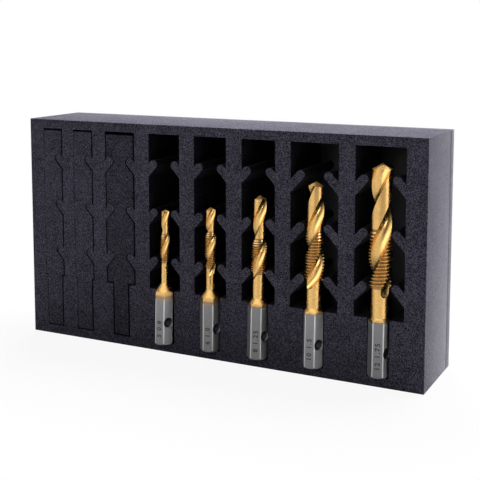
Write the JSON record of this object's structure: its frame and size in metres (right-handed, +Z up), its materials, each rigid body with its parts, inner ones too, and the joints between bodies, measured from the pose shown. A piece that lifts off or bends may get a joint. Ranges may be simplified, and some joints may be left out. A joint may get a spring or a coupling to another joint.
{
  "type": "drill tap drawer insert",
  "caption": "Foam block on its long edge with finger-lined pockets that hold spiral drill taps with hexagon shanks; some pockets keep their cut plugs.",
  "frame": {"origin": "middle of the standing face, the long edge that the block stands on in the picture", "axes": "+X along the row of pockets, from the plugged ones to the largest tool; -Y out of the pockets, towards the viewer; +Z up, along the tools towards their tips"},
  "size_m": [0.238, 0.054, 0.127],
  "materials": {
    "foam": "matte, fine closed cells",
    "adhesive": "clear to grey film",
    "coated_steel": "gold titanium nitride coat on the body, bare ground steel on the shank"
  },
  "bodies": {
    "insert": {"pocket_layer": "foam", "adhesive_film": "adhesive", "base_layer": "foam"},
    "pocket_plug_1": {"pocket_plug_1": "foam"},
    "pocket_plug_2": {"pocket_plug_2": "foam"},
    "pocket_plug_3": {"pocket_plug_3": "foam"},
    "drill_tap_m5": {"drill_tap_m5": "coated_steel"},
    "drill_tap_m6": {"drill_tap_m6": "coated_steel"},
    "drill_tap_m8": {"drill_tap_m8": "coated_steel"},
    "drill_tap_m10": {"drill_tap_m10": "coated_steel"},
    "drill_tap_m12": {"drill_tap_m12": "coated_steel"}
  },
  "joints": [
    {"name": "pocket_plug_1_pull", "type": "slide", "parent": "insert", "child": "pocket_plug_1", "axis": [0, -1, 0], "range_m": [0, 0.045]},
    {"name": "pocket_plug_2_pull", "type": "slide", "parent": "insert", "child": "pocket_plug_2", "axis": [0, -1, 0], "range_m": [0, 0.045]},
    {"name": "pocket_plug_3_pull", "type": "slide", "parent": "insert", "child": "pocket_plug_3", "axis": [0, -1, 0], "range_m": [0, 0.045]},
    {"name": "drill_tap_m5_pull", "type": "slide", "parent": "insert", "child": "drill_tap_m5", "axis": [0, -1, 0], "range_m": [0, 0.03]},
    {"name": "drill_tap_m6_pull", "type": "slide", "parent": "insert", "child": "drill_tap_m6", "axis": [0, -1, 0], "range_m": [0, 0.03]},
    {"name": "drill_tap_m8_pull", "type": "slide", "parent": "insert", "child": "drill_tap_m8", "axis": [0, -1, 0], "range_m": [0, 0.03]},
    {"name": "drill_tap_m10_pull", "type": "slide", "parent": "insert", "child": "drill_tap_m10", "axis": [0, -1, 0], "range_m": [0, 0.03]},
    {"name": "drill_tap_m12_pull", "type": "slide", "parent": "insert", "child": "drill_tap_m12", "axis": [0, -1, 0], "range_m": [0, 0.03]}
  ]
}
